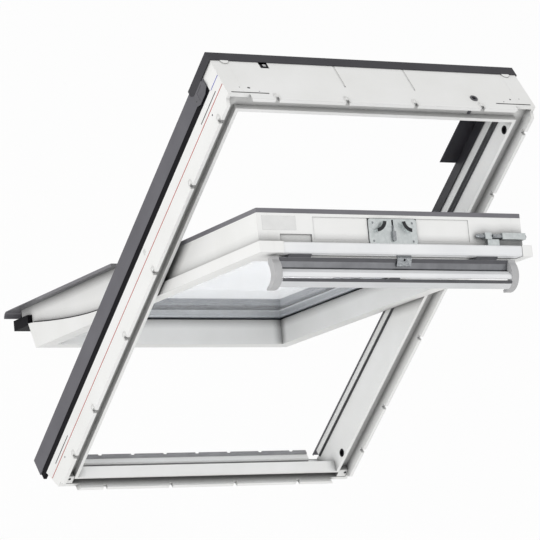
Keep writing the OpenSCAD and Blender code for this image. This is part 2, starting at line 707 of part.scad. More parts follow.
// Sash half of a pivot hinge: plate with the pin's bore
module left_sash_plate() {
  color(steel) on_sash() difference() {
    union() {
      rod_x(-body_x - plate_t, -body_x, 0, 0, 15);
      box(-body_x - plate_t, -body_x, -15, 14, -90, 90);
    }
    rod_x(-body_x - plate_t - 1, -body_x + 1, 0, 0, pivot_r + run_c);
  }
}
module right_sash_plate() { right_hand() left_sash_plate(); }
module left_friction_washer() {
  x0 = -inner_x + plate_t + 0.3;
  color("#8a8d90") on_sash() difference() {
    rod_x(x0, -body_x - plate_t, 0, 0, 13);
    rod_x(x0 - 1, -body_x - plate_t + 1, 0, 0, pivot_r + run_c);
  }
}
module right_friction_washer() { right_hand() left_friction_washer(); }

// Lock plate with round corners, a slot for the latch and two raised claws
module lock_plate() {
  r = 6;
  color(steel) on_sash() union() {
    difference() {
      union() {
        box(-lock_x, lock_x, lock_m0 + r, lock_m1 - r, plate_s, plate_s + lock_t);
        box(-lock_x + r, lock_x - r, lock_m0, lock_m1, plate_s, plate_s + lock_t);
        for (x = [-lock_x + r, lock_x - r], m = [lock_m0 + r, lock_m1 - r])
          translate([x, m, plate_s]) cylinder(r = r, h = lock_t);
      }
      box(-1.8, 1.8, latch_m + 14 * lock_k, latch_m + 43 * lock_k, plate_s - 1, plate_s + lock_t + 1);
    }
    for (side = [0, 1]) mirror([side, 0, 0]) translate([-lock_x + 15, lock_m1 - 4, plate_s + lock_t - eps])
      rotate([0, 0, -85]) rotate_extrude(angle = 78) translate([20 * lock_k, 0]) square([6, 8]);
  }
}
module lock_screws() {
  color("#9aa0a2") on_sash() for (x = [-lock_x + 11, lock_x - 11], m = [lock_m0 + 7, lock_m1 - 9])
    translate([x, m, plate_s + lock_t]) cylinder(r1 = 2.6, r2 = 2, h = 1);
}
module lock_latch() {
  s0 = plate_s + lock_t + 0.3;
  color(steel) on_sash() union() {
    box(-1.4, 1.4, latch_m + 21 * lock_k, latch_m + 31 * lock_k, plate_s + 0.3, s0 + 3);
    box(-4, 4, latch_m, latch_m + 18 * lock_k, s0, s0 + 5);
    box(-1.4, 1.4, latch_m + 17 * lock_k, latch_m + 31 * lock_k, s0, s0 + 3);
    translate([0, latch_m, s0]) cylinder(r = 4, h = 5);
  }
}

// Barrel bolt and its housing with a sight window
module bolt_housing() {
  half = bolt_r + 2.2;
  color(steel) on_sash() difference() {
    union() {
      box(base_x, body_x, bolt_m - half, bolt_m + half, body_top, body_top + base_t);
      box(housing_x, body_x, bolt_m - half, bolt_m + half, body_top, bolt_s + half);
      box(base_x, window_x, bolt_m - half, bolt_m + half, body_top, bolt_s + half);
      box(base_x + 10, housing_x - 5, flange_m, bolt_m - half + 1, body_top, body_top + 8);
    }
    rod_x(base_x - 8, body_x + 1, bolt_m, bolt_s, bolt_r + run_c);
  }
}
module barrel_bolt() {
  color("#d5dada") on_sash() union() {
    rod_x(bolt_x0, bolt_x1, bolt_m, bolt_s, bolt_r);
    translate([bolt_x0, bolt_m, bolt_s]) sphere(r = bolt_r);
    rod_x(bolt_x1, bolt_x1 + 0.8, bolt_m, bolt_s, bolt_r - 0.8);
    box(window_x + 1, window_x + 6, bolt_m - 2.5, bolt_m + 2.5, bolt_s, bolt_s + 11);
  }
}

// Fixed lugs and pins that carry the control bar
module bar_brackets() {
  color("#55555a") on_sash() for (x = hinge_xs) {
    for (side = [-1, 1]) {
      x0 = x + side * (hinge_half + 0.3 + lug_t / 2) - lug_t / 2;
      rod_x(x0, x0 + lug_t, bar_hinge_m, bar_hinge_s, 6);
      box(x0, x0 + lug_t, bar_hinge_m, -inner_m, bar_hinge_s - 18, bar_hinge_s + 3.9);
    }
    rod_x(x - hinge_half - 1, x + hinge_half + 1, bar_hinge_m, bar_hinge_s, bar_pin_r);
  }
}

// Flap that closes the ventilation gap; it swings with the control bar
module ventilation_flap() {
  s0 = flap_s0 + 1.5;
  color("#dcdce0") on_sash() along_x(flap_x0, flap_x1)
    polygon([[flap_m0, s0], [flap_m0, flange_top - 4], [flap_m0 + 3, flange_top - 1],
             [flange_m - 3, flange_top - 1], [flange_m - 0.6, flange_top - 4], [flange_m - 0.6, s0]]);
}
module bar_upper_profile() {
  color("#b9babd") on_sash() along_x(-bar_x + cap_w, bar_x - cap_w)
    polygon([[bar_m0, bar_s0], [bar_m0, bar_s0 + bar_wall],
             [bar_knee_m + 1, bar_under(bar_knee_m) + bar_wall], [bar_fold_m + 1, grip_s0 + grip_wall - 1],
             [grip_m, grip_s0 + grip_wall], [grip_m, grip_s0], [bar_fold_m, grip_s0 - 1],
             [bar_knee_m, bar_under(bar_knee_m)]]);
}
module bar_lower_profile() {
  color("#d6d7d9") on_sash() along_x(-bar_x + cap_w, bar_x - cap_w)
    polygon([[strip_m + 11, grip_s0 + 2], [strip_m + 8, grip_s0 + 5], [strip_m - 3, grip_s0 - 6],
             [strip_m - 5, grip_s0 - 14], [strip_m - 2, grip_s0 - 16], [strip_m, grip_s0 - 8]]);
}

// Crescent end cap that joins the bar's two profiles
module bar_cap(x0) {
  cap_r = 36;
  color("#c9c8c6") on_sash() along_x(x0, x0 + cap_w) difference() {
    union() {
      translate([grip_m + 9, bar_s0 - 19]) circle(r = cap_r);
      rect(grip_m + 9, bar_m0, bar_s0 - 19, bar_s0 + 7);
    }
    translate([grip_m + 7, bar_s0 - 31]) circle(r = cap_r - 7);
    rect(grip_m - cap_r, bar_m0 + 1, bar_s0 - 2 * cap_r, bar_s0 - 24);
    rect(bar_m0, bar_m0 + cap_r, bar_s0 - 2 * cap_r, bar_s0 + cap_r);
    rect(bar_m0 - 12, bar_m0 + 1, bar_s0 - 2 * cap_r, bar_hinge_s - 1);
  }
}
module bar_left_cap() { bar_cap(-bar_x); }
module bar_right_cap() { bar_cap(bar_x - cap_w); }

// Strap from the flap to the bar, with the hole for a cord
module bar_centre_bracket() {
  strap_t = 4;
  color(steel) on_sash() difference() {
    along_x(2, 38) polygon([[flap_m0, bar_s0 + 6], [flap_m0, bar_s0 + 6 + strap_t],
      [bar_m0, bar_s0 + 7 + strap_t], [bar_m0 - 17, bar_s0 + 1 + strap_t],
      [bar_m0 - 17, bar_s0 + 1.5], [bar_m0, bar_s0 + 7]]);
    translate([20, bar_m0 - 4, bar_s0 - 4]) cylinder(r = 2.6, h = 30);
  }
}
module bar_gusset() {
  color("#6b6b70") on_sash() along_x(-22, 2) polygon([[grip_m, grip_s0], [grip_m, grip_s0 + grip_wall],
    [strip_m + 11, grip_s0 + 2], [strip_m, grip_s0 - 8], [strip_m - 2, grip_s0 - 16],
    [strip_m + 5, grip_s0 - 15], [strip_m + 11, grip_s0 - 6]]);
}
module bar_hinge_blocks() {
  r = bar_eye_r;
  color("#4b4b50") on_sash() for (x = hinge_xs) difference() {
    union() {
      rod_x(x - hinge_half, x + hinge_half, bar_hinge_m, bar_hinge_s, r);
      along_x(x - hinge_half, x + hinge_half) polygon([[bar_hinge_m - r, bar_hinge_s],
        [bar_hinge_m - r, bar_under(bar_hinge_m - r)], [bar_m0, bar_s0], [bar_m0, bar_s0 + 5],
        [flap_m0, bar_s0 + 11], [flap_m0, flap_s0 + 2], [bar_m0 + 3.5, flap_s0 + 2],
        [bar_m0 + 3.5, bar_hinge_s]]);
    }
    rod_x(x - hinge_half - 1, x + hinge_half + 1, bar_hinge_m, bar_hinge_s, bar_pin_r + run_c);
  }
}

frame_left();
frame_right();
frame_head();
frame_sill();
left_side_cladding();
right_side_cladding();
head_casing();
left_upper_cover();
right_upper_cover();
sill_cladding();
sill_seal();
left_outer_gasket();
right_outer_gasket();
left_inner_seal();
right_inner_seal();
left_hinge_plate();
right_hinge_plate();
hinge_plate_screws();
bolt_bushes();
cable_grommet();
corner_tabs();
lock_keeper();
sash_left_stile();
sash_right_stile();
sash_top_rail();
sash_bottom_rail();
inner_pane();
outer_pane();
pane_spacer();
inner_glazing_gasket();
outer_glazing_gasket();
sash_top_cover();
sash_upper_left_cover();
sash_upper_right_cover();
sash_lower_left_cover();
sash_lower_right_cover();
sash_bottom_cover();
drip_profile();
left_sash_seal();
right_sash_seal();
left_sash_plate();
right_sash_plate();
left_friction_washer();
right_friction_washer();
lock_plate();
lock_screws();
bolt_housing();
bar_brackets();
ventilation_flap();
bar_upper_profile();
bar_lower_profile();
bar_left_cap();
bar_right_cap();
bar_centre_bracket();
bar_gusset();
bar_hinge_blocks();
barrel_bolt();
lock_latch();
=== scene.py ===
import math

import bmesh
import bpy
from mathutils import Matrix, Vector


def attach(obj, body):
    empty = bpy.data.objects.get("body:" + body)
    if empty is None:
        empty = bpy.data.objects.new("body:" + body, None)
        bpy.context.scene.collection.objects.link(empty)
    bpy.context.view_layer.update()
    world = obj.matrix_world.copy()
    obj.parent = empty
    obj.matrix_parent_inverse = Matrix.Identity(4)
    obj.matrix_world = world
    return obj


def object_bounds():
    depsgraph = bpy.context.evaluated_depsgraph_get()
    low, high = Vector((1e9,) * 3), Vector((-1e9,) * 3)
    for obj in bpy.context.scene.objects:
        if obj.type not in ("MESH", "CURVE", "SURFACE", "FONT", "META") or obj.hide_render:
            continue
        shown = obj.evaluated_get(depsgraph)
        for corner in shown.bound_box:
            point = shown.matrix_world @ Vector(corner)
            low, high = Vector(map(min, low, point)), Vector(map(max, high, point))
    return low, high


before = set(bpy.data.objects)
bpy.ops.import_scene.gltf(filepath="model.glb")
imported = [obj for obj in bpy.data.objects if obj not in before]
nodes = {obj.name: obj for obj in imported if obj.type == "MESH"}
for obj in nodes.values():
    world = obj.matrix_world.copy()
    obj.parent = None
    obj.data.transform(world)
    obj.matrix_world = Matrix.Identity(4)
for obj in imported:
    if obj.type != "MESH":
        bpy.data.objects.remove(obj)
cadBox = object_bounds()
print("frame loaded:", len(nodes), "nodes")


# A hex colour taken through the sRGB curve
def toLinear(hexColour):
    channels = [int(hexColour[i:i + 2], 16) / 255 for i in (1, 3, 5)]
    return (*[c / 12.92 if c <= 0.04045 else ((c + 0.055) / 1.055) ** 2.4 for c in channels], 1.0)


def metres(millimetres):
    return millimetres / 1000


# Texture scale of a pattern whose features are this wide
def perMetre(millimetres):
    return 1000 / millimetres


def addNode(tree, kind, inputs=None, links=None, **settings):
    node = tree.nodes.new(kind)
    for name, value in settings.items():
        setattr(node, name, value)
    for name, value in (inputs or {}).items():
        node.inputs[name].default_value = value
    for name, socket in (links or {}).items():
        tree.links.new(socket, node.inputs[name])
    return node


def startMaterial(name, sockets):
    material = bpy.data.materials.new(name)
    material.use_nodes = True
    tree = material.node_tree
    tree.nodes.clear()
    shader = addNode(tree, "ShaderNodeBsdfPrincipled", sockets)
    addNode(tree, "ShaderNodeOutputMaterial", links={"Surface": shader.outputs["BSDF"]})
    coords = addNode(tree, "ShaderNodeTexCoord").outputs["Object"]
    return material, tree, shader, coords


def spreadTones(ramp, places, tones):
    for stop, place, tone in zip(ramp.elements, places, tones):
        stop.position = place
        stop.color = toLinear(tone)


# Shared by the finishes below; the relief is as deep as this share of the grain's width
grainPattern = {"driftDetail": 4.0, "grainDetail": 3.0, "stops": (0.3, 0.7), "depthShare": 0.25}
crystalStops = (0.2, 0.8)
shadeSamples = 4
mixSockets = {"factor": 0, "first": 6, "second": 7, "result": 2}  # a Mix node's places for colours


# Two tones of one colour drift over the surface, and a fine relief breaks the gloss; where a look asks for
# it, painted shade greys the colour in hollows
def grainedMaterial(name, look):
    material, tree, shader, coords = startMaterial(name, look["sockets"])
    stretched = addNode(tree, "ShaderNodeMapping", {"Scale": look.get("stretch", (1, 1, 1))},
                        {"Vector": coords})
    drift = addNode(tree, "ShaderNodeTexNoise",
                    {"Scale": perMetre(look["driftMm"]), "Detail": grainPattern["driftDetail"]},
                    {"Vector": coords})
    tones = addNode(tree, "ShaderNodeValToRGB", links={"Fac": drift.outputs["Fac"]})
    spreadTones(tones.color_ramp, grainPattern["stops"], look["tones"])
    grain = addNode(tree, "ShaderNodeTexNoise",
                    {"Scale": perMetre(look["grainMm"]), "Detail": grainPattern["grainDetail"]},
                    {"Vector": stretched.outputs["Vector"]})
    gloss = addNode(tree, "ShaderNodeMapRange",
                    {"To Min": look["gloss"][0], "To Max": look["gloss"][1]},
                    {"Value": grain.outputs["Fac"]})
    worn = addNode(tree, "ShaderNodeBevel", {"Radius": metres(look["edgeMm"])}, samples=shadeSamples)
    depth = metres(look["grainMm"] * grainPattern["depthShare"])
    relief = addNode(tree, "ShaderNodeBump", {"Strength": look["relief"], "Distance": depth},
                     {"Height": grain.outputs["Fac"], "Normal": worn.outputs["Normal"]})
    colour = tones.outputs["Color"]
    # Painted shade: ambient occlusion mixes the colour toward a grey tone in recesses, creases and corners
    if "paintedShade" in look:
        paintedShade = look["paintedShade"]
        shadeOcclusion = addNode(tree, "ShaderNodeAmbientOcclusion", {"Distance": metres(paintedShade["reachMm"])},
                         samples=shadeSamples)
        openness = addNode(tree, "ShaderNodeMapRange", {"From Min": paintedShade["from"], "From Max": 1.0},
                           {"Value": shadeOcclusion.outputs["AO"]})
        shaded = addNode(tree, "ShaderNodeMix", {mixSockets["first"]: toLinear(paintedShade["tone"])},
                         {mixSockets["factor"]: openness.outputs["Result"], mixSockets["second"]: colour},
                         data_type="RGBA")
        colour = shaded.outputs[mixSockets["result"]]
    tree.links.new(colour, shader.inputs["Base Color"])
    tree.links.new(gloss.outputs["Result"], shader.inputs["Roughness"])
    tree.links.new(relief.outputs["Normal"], shader.inputs["Normal"])
    return material


lacquer = {"driftMm": 120, "grainMm": 3.5, "relief": 0.05, "gloss": (0.38, 0.48), "sockets": {"IOR": 1.5}}
# Moulded polyurethane under white lacquer: even satin with a slight orange peel, with painted shade greying
# its hollows
whiteLacquerAndShade = grainedMaterial("moulded polyurethane lacquer with painted shade", {
    **lacquer, "tones": ("#ebebe9", "#f1f1f0"), "edgeMm": 1.2,
    "paintedShade": {"reachMm": 26, "from": 0.32, "tone": "#5e5e5e"}})
# The same lacquer on small marks, a shade greyer
markLacquer = grainedMaterial("lacquered moulding marks", {
    **lacquer, "tones": ("#dcdcda", "#e2e2e0"), "edgeMm": 0.4})

sheetCoat = {"driftMm": 90, "grainMm": 0.9, "relief": 0.10, "gloss": (0.46, 0.62), "edgeMm": 0.6,
             "sockets": {"IOR": 1.5}}
# Powder coat on aluminium sheet: matt warm grey with a fine dry texture
powderCoat = grainedMaterial("powder coated aluminium", {**sheetCoat, "tones": ("#56555b", "#605f65")})
# The same coat on the sash's covers, painted lighter as painted light where they face the sky, and with more
# shine
sashCoatPaintedLight = grainedMaterial("satin powder coated aluminium with painted light", {
    **sheetCoat, "tones": ("#69686d", "#737277"), "relief": 0.08, "gloss": (0.30, 0.42)})
# The upper covers have the matt coat painted much darker, as painted shade for their shadowed undersides
coatPaintedShade = grainedMaterial("powder coated aluminium painted dark as shade", {**sheetCoat, "tones": ("#26252a", "#302f34")})
# The casing's sheet is nearly as dark, with a duller face
casingCoat = grainedMaterial("powder coated casing sheet", {
    **sheetCoat, "tones": ("#2f2e33", "#38373c"), "sockets": {"IOR": 1.5, "Specular IOR Level": 0.3}})

rubber = {"driftMm": 40, "grainMm": 1.2, "relief": 0.12, "stretch": (1, 1, 0.05), "gloss": (0.55, 0.75),
          "edgeMm": 0.3}
# Extruded rubber: black and dull with drawing lines along the strip, coarser than real so that they show; it
# also gives the painted shade of the clip slot and the peg holes
extrudedRubberAndShade = grainedMaterial("extruded epdm rubber and painted shade", {
    **rubber, "tones": ("#09080d", "#100f14"), "sockets": {"IOR": 1.52, "Specular IOR Level": 0.12}})
# Softer lip seals of the frame show a greyer black
lipRubber = grainedMaterial("soft epdm lip seal", {
    **rubber, "tones": ("#39393b", "#454547"), "sockets": {"IOR": 1.52, "Specular IOR Level": 0.3}})
# Grey rubber along the sill, pale and dusty
greyRubber = grainedMaterial("grey epdm rubber", {
    **rubber, "tones": ("#8a8a8c", "#969698"), "stretch": (0.05, 1, 1), "sockets": {"IOR": 1.52}})

# Anodised aluminium: satin with lines brushed along the bar, coarser than real so that they show
brushedBar = grainedMaterial("brushed anodised aluminium", {
    "tones": ("#6f7073", "#7f8083"), "driftMm": 30, "grainMm": 0.8, "relief": 0.10,
    "stretch": (0.02, 1, 1), "gloss": (0.30, 0.44), "edgeMm": 0.5, "sockets": {"Metallic": 1.0}})

profileCoat = {"driftMm": 70, "grainMm": 1.6, "relief": 0.04, "gloss": (0.30, 0.38), "edgeMm": 0.6,
               "sockets": {"IOR": 1.5}}
# Lacquered aluminium of the flap: smooth, pale and silky; it also gives the painted highlight on the bar's
# folded edge
paleLacquerAndHighlight = grainedMaterial("lacquered aluminium profile and painted highlight", {**profileCoat, "tones": ("#e6e7e9", "#eeeff0")})
# The grip's own coat is a shade deeper than the flap's
gripLacquer = grainedMaterial("lacquered aluminium grip", {**profileCoat, "tones": ("#cdced0", "#d6d7d9")})

nylon = {"driftMm": 25, "grainMm": 0.7, "relief": 0.14, "gloss": (0.45, 0.58), "edgeMm": 0.5,
         "sockets": {"IOR": 1.53}}
# Moulded nylon: soft grey with a spark-eroded texture, coarser than real so that it shows
nylonCap = grainedMaterial("moulded grey nylon", {**nylon, "tones": ("#adadae", "#b7b7b8"), "edgeMm": 0.8})
# Dark nylon of brackets and bushes, with the same dry texture; it also gives the painted shade on the bar and
# in the top face's dimples
darkNylonAndShade = grainedMaterial("moulded dark nylon and painted shade", {**nylon, "tones": ("#47474b", "#525257")})
# Nylon of tabs and washers: close to the claddings' grey
greyNylon = grainedMaterial("moulded mid grey nylon", {**nylon, "tones": ("#4f4e53", "#59585d")})

# Rolled aluminium strip between the panes: pale with a soft sheen
rolledSpacer = grainedMaterial("rolled aluminium spacer", {
    "tones": ("#dcdee1", "#e6e8ea"), "driftMm": 20, "grainMm": 0.6, "relief": 0.06,
    "gloss": (0.40, 0.50), "edgeMm": 0.2, "sockets": {"Metallic": 0.5}})


# Galvanised steel: zinc crystals a few millimetres across, each with its own tone and gloss
def galvanisedMaterial(name, look):
    material, tree, shader, coords = startMaterial(name, {"Metallic": 1.0})
    crystals = addNode(tree, "ShaderNodeTexVoronoi", {"Scale": perMetre(look["crystalMm"])},
                       {"Vector": coords})
    tones = addNode(tree, "ShaderNodeValToRGB", links={"Fac": crystals.outputs["Color"]})
    spreadTones(tones.color_ramp, crystalStops, look["tones"])
    gloss = addNode(tree, "ShaderNodeMapRange",
                    {"To Min": look["gloss"][0], "To Max": look["gloss"][1]},
                    {"Value": crystals.outputs["Color"]})
    worn = addNode(tree, "ShaderNodeBevel", {"Radius": metres(look["edgeMm"])}, samples=shadeSamples)
    tree.links.new(tones.outputs["Color"], shader.inputs["Base Color"])
    tree.links.new(gloss.outputs["Result"], shader.inputs["Roughness"])
    tree.links.new(worn.outputs["Normal"], shader.inputs["Normal"])
    return material


# Dipped plates: pale zinc with a soft mottle
zincPlate = galvanisedMaterial("galvanised steel plate", {
    "tones": ("#bcc1c1", "#c8cccc"), "crystalMm": 5, "gloss": (0.34, 0.42), "edgeMm": 0.5})
# Plated small parts: darker and with a sharper gloss
zincBolt = galvanisedMaterial("bright zinc plated steel", {
    "tones": ("#85888b", "#9c9fa1"), "crystalMm": 4, "gloss": (0.16, 0.26), "edgeMm": 0.4})


# Float glass: clear with a faint cool tint and a waviness too slight to bend what is behind it
def glassMaterial(name, look):
    material, tree, shader, coords = startMaterial(name, {
        "Base Color": toLinear(look["tint"]), "Roughness": 0.0, "IOR": look["ior"],
        "Transmission Weight": 1.0, "Alpha": look["body"]})
    wave = addNode(tree, "ShaderNodeTexNoise", {"Scale": perMetre(look["waveMm"])}, {"Vector": coords})
    relief = addNode(tree, "ShaderNodeBump",
                     {"Strength": look["relief"], "Distance": metres(look["reliefMm"])},
                     {"Height": wave.outputs["Fac"]})
    tree.links.new(relief.outputs["Normal"], shader.inputs["Normal"])
    return material


# The index is below real glass, so that the panes don't shift what is seen through them
clearGlass = glassMaterial("clear float glass", {
    "tint": "#dce6f2", "body": 0.2, "ior": 1.1, "waveMm": 180, "relief": 0.002, "reliefMm": 1})

finishes = {
    whiteLacquerAndShade: ("frame_", "sash_left_stile", "sash_right_stile", "sash_top_rail", "sash_bottom_rail"),
    powderCoat: ("left_side_cladding", "right_side_cladding", "sill_cladding"),
    sashCoatPaintedLight: ("sash_top_cover", "sash_upper_", "sash_lower_", "sash_bottom_cover"),
    coatPaintedShade: ("left_upper_cover", "right_upper_cover"),
    casingCoat: ("head_casing",),
    lipRubber: ("left_inner_seal", "right_inner_seal"),
    greyRubber: ("sill_seal",),
    extrudedRubberAndShade: ("left_outer_gasket", "right_outer_gasket", "inner_glazing_gasket",
                     "outer_glazing_gasket", "left_sash_seal", "right_sash_seal", "drip_profile",
                     "bolt_bushes"),
    zincPlate: ("left_hinge_plate", "right_hinge_plate", "left_sash_plate", "right_sash_plate",
                "lock_plate", "lock_keeper", "bolt_housing"),
    zincBolt: ("barrel_bolt", "bar_centre_bracket", "lock_latch", "lock_screws", "hinge_plate_screws"),
    brushedBar: ("bar_upper_profile",),
    paleLacquerAndHighlight: ("ventilation_flap",),
    gripLacquer: ("bar_lower_profile",),
    nylonCap: ("bar_left_cap", "bar_right_cap"),
    darkNylonAndShade: ("cable_grommet", "bar_gusset", "bar_hinge_blocks", "bar_brackets"),
    greyNylon: ("corner_tabs", "left_friction_washer", "right_friction_washer"),
    rolledSpacer: ("pane_spacer",),
    clearGlass: ("inner_pane", "outer_pane"),
}
dressed = 0
for finish, prefixes in finishes.items():
    for name, node in nodes.items():
        if name.startswith(prefixes):
            node.data.materials.clear()
            node.data.materials.append(finish)
            dressed += 1
print("finishes given to", dressed, "of", len(nodes), "nodes")

ink = {"driftMm": 30, "grainMm": 0.8, "relief": 0.03, "gloss": (0.5, 0.6), "edgeMm": 0.1,
       "sockets": {"IOR": 1.45}}
# Marking inks: thin flat colour with hardly any gloss
inkRed = grainedMaterial("red marking ink", {**ink, "tones": ("#b02a1e", "#ba372b")})
inkBlue = grainedMaterial("blue marking ink", {**ink, "tones": ("#3a3fb0", "#474cb8")})
# Paper label: soft white with a slight tooth
bareLabel = grainedMaterial("bare paper label", {
    "tones": ("#dededd", "#e4e4e3"), "driftMm": 20, "grainMm": 0.4, "relief": 0.05,
    "gloss": (0.5, 0.62), "edgeMm": 0.1, "sockets": {"IOR": 1.45}})
# Baked enamel on the glass edge: dense, even and faintly glossy
glassEnamel = grainedMaterial("baked glass enamel", {
    "tones": ("#e4e6e8", "#eceef0"), "driftMm": 60, "grainMm": 0.8, "relief": 0.02,
    "gloss": (0.25, 0.32), "edgeMm": 0.1, "sockets": {"IOR": 1.5}})
# Blackened steel: nearly black, with a low metallic shine; it also gives the painted shade round the lock
# plate, in its slot and behind the bolt window
blackSteelAndShade = grainedMaterial("blackened steel and painted shade", {
    "tones": ("#2b2c2e", "#3a3b3d"), "driftMm": 15, "grainMm": 0.8, "relief": 0.08,
    "gloss": (0.3, 0.45), "edgeMm": 0.3, "sockets": {"Metallic": 0.8}})
print("finishes of the detail pieces made")


def meshPiece(name, shape, material):
    bmesh.ops.recalc_face_normals(shape, faces=shape.faces[:])
    mesh = bpy.data.meshes.new(name)
    shape.to_mesh(mesh)
    shape.free()
    mesh.materials.append(material)
    piece = bpy.data.objects.new(name, mesh)
    bpy.context.scene.collection.objects.link(piece)
    return piece


def mountPiece(name, shape, material, body):
    piece = meshPiece(name, shape, material)
    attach(piece, body)


facets = {"edge": 2, "peg": 24, "highlightStrip": 8, "bow": 8}  # steps round each kind of curve


def mm(x, y, z):
    return Vector((x, y, z)) / 1000


# A box between two values on each axis
def addBox(shape, x, y, z, place=Matrix()):
    low, high = mm(x[0], y[0], z[0]), mm(x[1], y[1], z[1])
    bmesh.ops.create_cube(shape, size=1, matrix=place @ Matrix.Translation((low + high) / 2)
                          @ Matrix.Diagonal((*(high - low), 1)))


# The same box at the left and at the right
def addPair(shape, x, y, z):
    for side in (-1, 1):
        addBox(shape, sorted(side * value for value in x), y, z)


def softenEdges(shape, widthMm):
    bmesh.ops.bevel(shape, geom=shape.edges[:], offset=metres(widthMm), affect="EDGES",
                    segments=facets["edge"], profile=0.5, material=-1)


# A round peg that stands proud of its centre, and is sunk as far on the other side
def addPeg(shape, centre, axis, radius, proud):
    turn = Vector(axis).to_track_quat("Z", "Y").to_matrix().to_4x4()
    bmesh.ops.create_cone(shape, cap_ends=True, segments=facets["peg"], radius1=metres(radius),
                          radius2=metres(radius), depth=metres(2 * proud),
                          matrix=Matrix.Translation(mm(*centre)) @ turn)


def pushOut(shape, face, vector):
    grown = bmesh.ops.extrude_face_region(shape, geom=[face])["geom"]
    bmesh.ops.translate(shape, vec=vector, verts=[g for g in grown if isinstance(g, bmesh.types.BMVert)])
    return [g for g in grown if isinstance(g, bmesh.types.BMFace)][0]


# An arched bead: up one leg, round the crown and down the other
def addArch(shape, foot, rise, across, look):
    foot, rise, across = mm(*foot), Vector(rise), Vector(across)
    leg = rise * look["leg"] / 1000
    axis = across.cross(rise)
    place = Matrix((across, axis, rise)).transposed().to_4x4()
    place.translation = foot + across * look["radius"] / 1000
    ring = bmesh.ops.create_circle(shape, cap_ends=True, segments=facets["highlightStrip"],
                                   radius=metres(look["thick"]), matrix=place)
    face = pushOut(shape, ring["verts"][0].link_faces[0], leg)
    bow = bmesh.ops.spin(shape, geom=[face, *face.edges, *face.verts], cent=foot + leg, axis=axis,
                         angle=math.pi, steps=facets["bow"])["geom_last"]
    turned = [g for g in bow if isinstance(g, bmesh.types.BMFace)][0]
    pushOut(shape, turned, -leg)
    bmesh.ops.delete(shape, geom=[turned], context="FACES_ONLY")  # left inside the bead


# A strip of one section, drawn out across the sash
def addStrip(shape, outline, x, place):
    section = shape.faces.new([shape.verts.new(place @ mm(x[0], *point)) for point in outline])
    pushOut(shape, section, place.to_3x3() @ mm(x[1] - x[0], 0, 0))


# A flat rectangular band round an open middle
def addBand(shape, look, place):
    size = Matrix.Diagonal((metres(look["width"]), metres(look["height"]), 1, 1))
    bmesh.ops.create_grid(shape, x_segments=1, y_segments=1, size=0.5, matrix=place @ size)
    middle = shape.faces[:]
    bmesh.ops.inset_region(shape, faces=middle, thickness=metres(look["border"]), use_boundary=True,
                           use_even_offset=True)
    bmesh.ops.delete(shape, geom=middle, context="FACES")
    bmesh.ops.solidify(shape, geom=shape.faces[:], thickness=metres(look["thick"]))


# Places on the sash: across, out of it, and up along it, turned to its open pose
tilt = {"turnDeg": 36, "pivot": (0, 115, 589)}
onSash = (Matrix.Translation(mm(*tilt["pivot"]))
          @ Matrix.Rotation(math.radians(tilt["turnDeg"]), 4, "X"))

# Marking lines printed down the outer faces for the roofer
guideLine = {"x": (390, 390.15), "red": {"y": (47.3, 49.6), "z": (-8, 1176)},
             "blue": {"y": (76, 78), "z": (1134, 1176)}}
for colourName, colourInk in (("red", inkRed), ("blue", inkBlue)):
    lines = bmesh.new()
    addPair(lines, guideLine["x"], **guideLine[colourName])
    mountPiece(colourName + "_guide_lines", lines, colourInk, "frame")

# Moulded arches above the clip notches of the lining lips, and a small hook mark on each side
notchArch = {"radius": 5.6, "leg": 12, "thick": 1.3, "face": 390, "top": 1178, "rest": 2,
             "sideZ": (110, 256, 483, 679.7, 930, 1112), "headX": (-274, -101, 72, 245),
             "hook": {"radius": 3, "leg": 7, "thick": 1.2, "y": 62, "z": 682}}
outward, alongSide, alongHead = (0, 1, 0), (0, 0, 1), (1, 0, 0)
arches = bmesh.new()
for z in notchArch["sideZ"]:
    for side in (-1, 1):
        addArch(arches, (side * notchArch["face"], notchArch["rest"], z), outward, alongSide, notchArch)
for x in notchArch["headX"]:
    addArch(arches, (x, notchArch["rest"], notchArch["top"]), outward, alongHead, notchArch)
for side in (-1, 1):
    hook = notchArch["hook"]
    addArch(arches, (side * notchArch["face"], hook["y"], hook["z"]), outward, alongSide, hook)
mountPiece("notch_arches", arches, markLacquer, "frame")

# Half-round clips that hold the casing's inner edge on the top face
casingClip = {"x": (-357, 362), "y": 124.4, "z": 1178, "radius": 10, "proud": 1.6}
clips = bmesh.new()
for x in casingClip["x"]:
    addPeg(clips, (x, casingClip["y"], casingClip["z"]), (0, 0, 1), casingClip["radius"],
           casingClip["proud"])
bmesh.ops.bisect_plane(clips, geom=[*clips.verts, *clips.edges, *clips.faces],
                       plane_co=mm(0, casingClip["y"], 0), plane_no=(0, 1, 0), clear_outer=True)
bmesh.ops.holes_fill(clips, edges=clips.edges[:])
mountPiece("casing_clips", clips, whiteLacquerAndShade, "frame")

# Painted shade of the clip slot in the top face: a black block in the slot, with a flange on the face that
# widens the dark
slotShade = {"body": {"x": (-273.4, -254.6), "y": (117.4, 123.6), "z": (1169.5, 1178.4)},
              "flange": {"x": (-273, -253), "y": (106, 124.2), "z": (1177.8, 1178.4)}}
slotShadeShape = bmesh.new()
for box in slotShade.values():
    addBox(slotShadeShape, **box)
mountPiece("clip_slot_painted_shade", slotShadeShape, extrudedRubberAndShade, "frame")

# Pale tongue on the flange of the slot's painted shade
slotTongue = {"x": (-266, -258.5), "y": (111, 117.5), "z": (1178.2, 1179)}
tongue = bmesh.new()
addBox(tongue, **slotTongue)
mountPiece("clip_slot_tongue", tongue, nylonCap, "frame")

